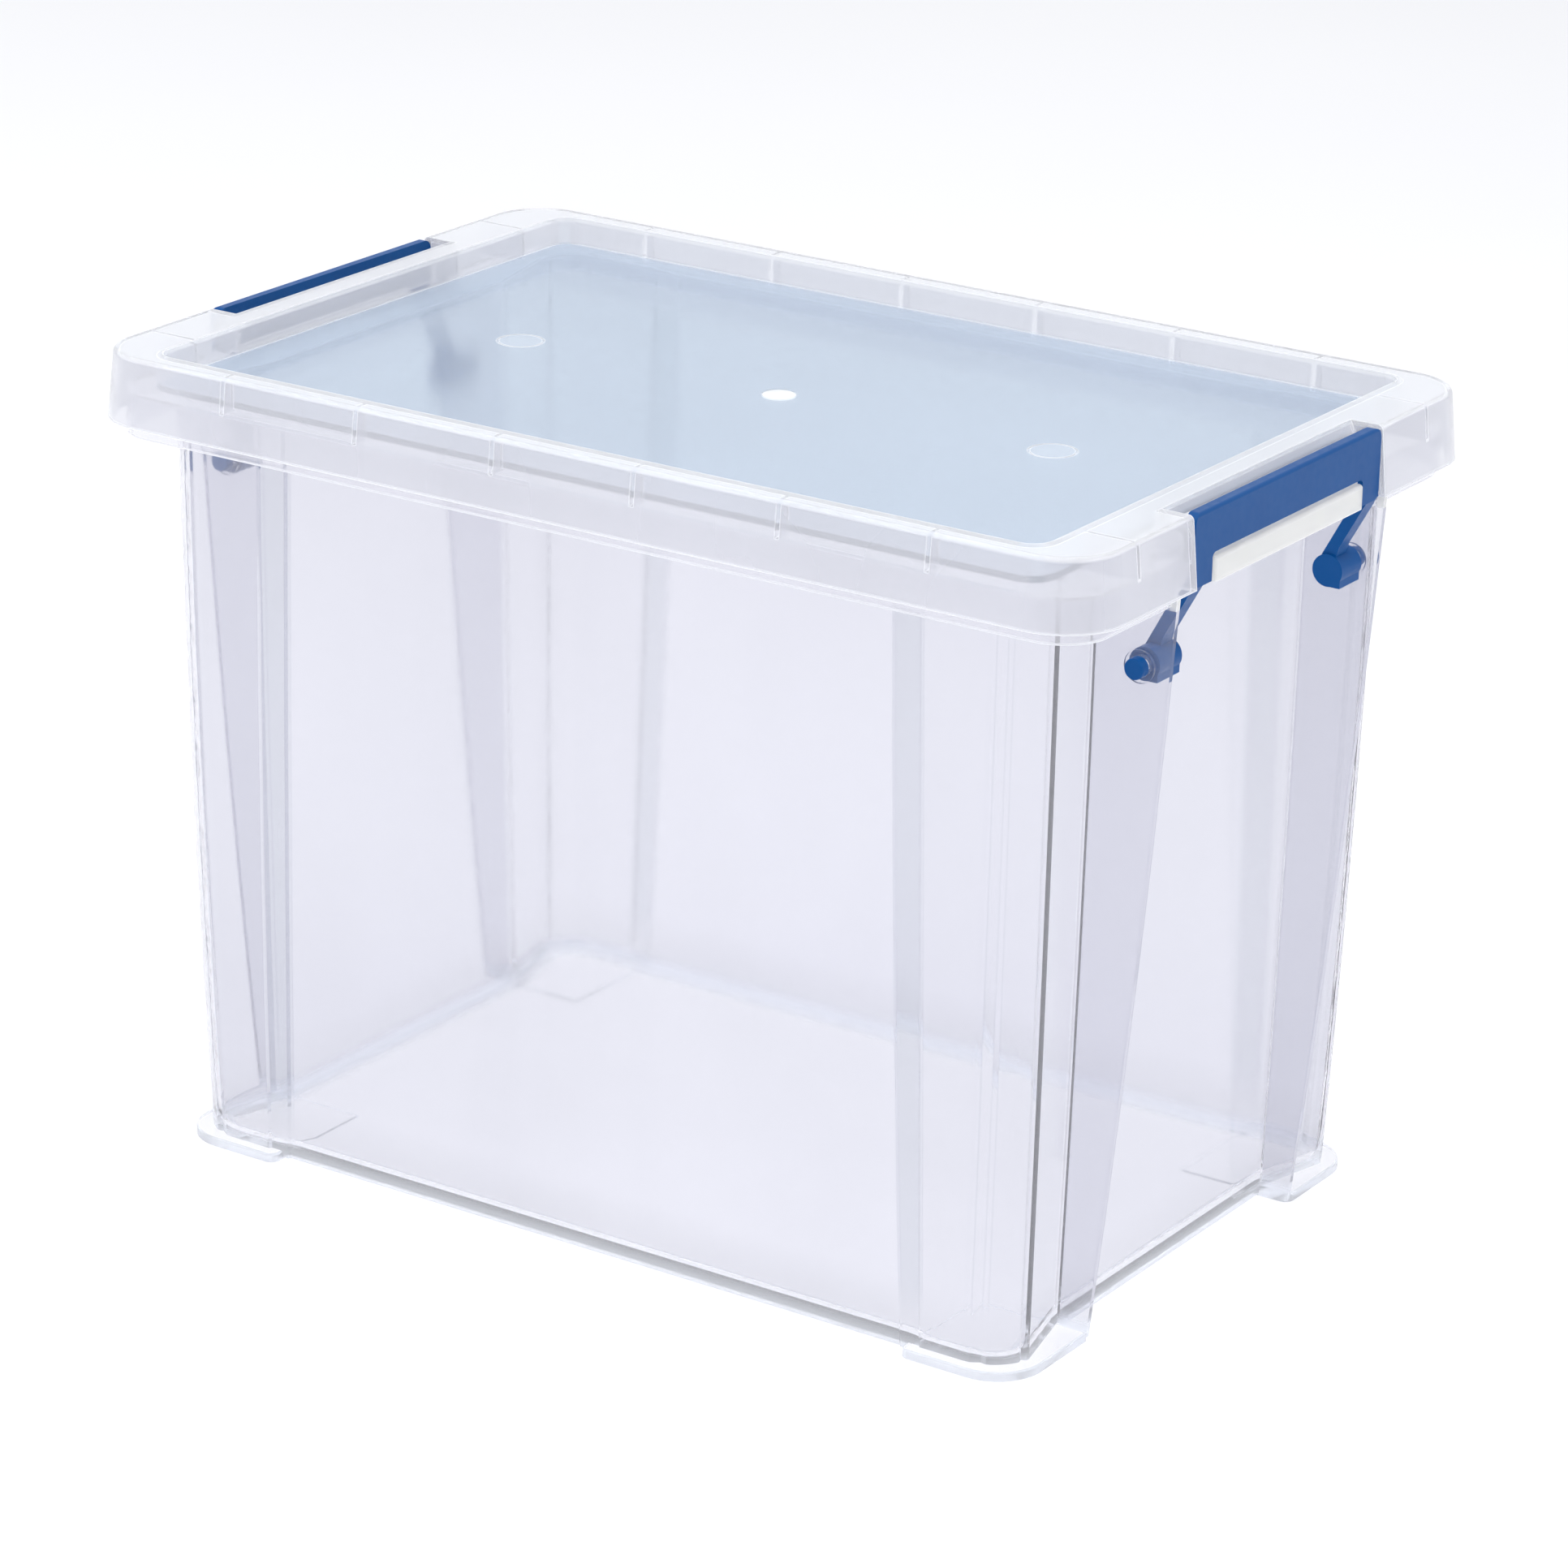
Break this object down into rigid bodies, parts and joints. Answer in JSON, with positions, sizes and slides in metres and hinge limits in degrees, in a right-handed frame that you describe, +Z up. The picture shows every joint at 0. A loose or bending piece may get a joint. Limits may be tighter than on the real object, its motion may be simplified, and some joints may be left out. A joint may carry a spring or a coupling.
{
  "type": "clip-lid storage box",
  "caption": "Tall clear plastic storage box with a lift-off lid held by a hinged blue clip handle on each end.",
  "frame": {"origin": "middle of the overall outline, on the plane the feet stand on", "axes": "+X along the length towards one clip, +Y across the width, +Z up"},
  "size_m": [0.4048, 0.2598, 0.2914],
  "materials": {
    "clear_tub": "clear moulded polypropylene, slightly frosted",
    "clear_lid": "clear moulded polypropylene, faint blue tint",
    "blue_clip": "opaque blue, satin gloss"
  },
  "bodies": {
    "tub": {"tub": "clear_tub"},
    "lid": {"lid": "clear_lid"},
    "right_clip": {"right_clip_handle": "blue_clip"},
    "left_clip": {"left_clip_handle": "blue_clip"}
  },
  "joints": [
    {"name": "lid_lift", "type": "slide", "parent": "tub", "child": "lid", "axis": [0, 0, 1], "range_m": [0, 0.08]},
    {"name": "right_clip_hinge", "type": "hinge", "parent": "tub", "child": "right_clip", "pos_m": [0.187, 0, 0.2405], "axis": [0, 1, 0], "range_deg": [0, 160.1]},
    {"name": "left_clip_hinge", "type": "hinge", "parent": "tub", "child": "left_clip", "pos_m": [-0.187, 0, 0.2405], "axis": [0, -1, 0], "range_deg": [0, 160.1]}
  ],
  "couplings": [
    {"joint": "right_clip_hinge", "follows": "lid_lift", "rad_per_m": 34.9},
    {"joint": "left_clip_hinge", "follows": "lid_lift", "rad_per_m": 34.9}
  ]
}
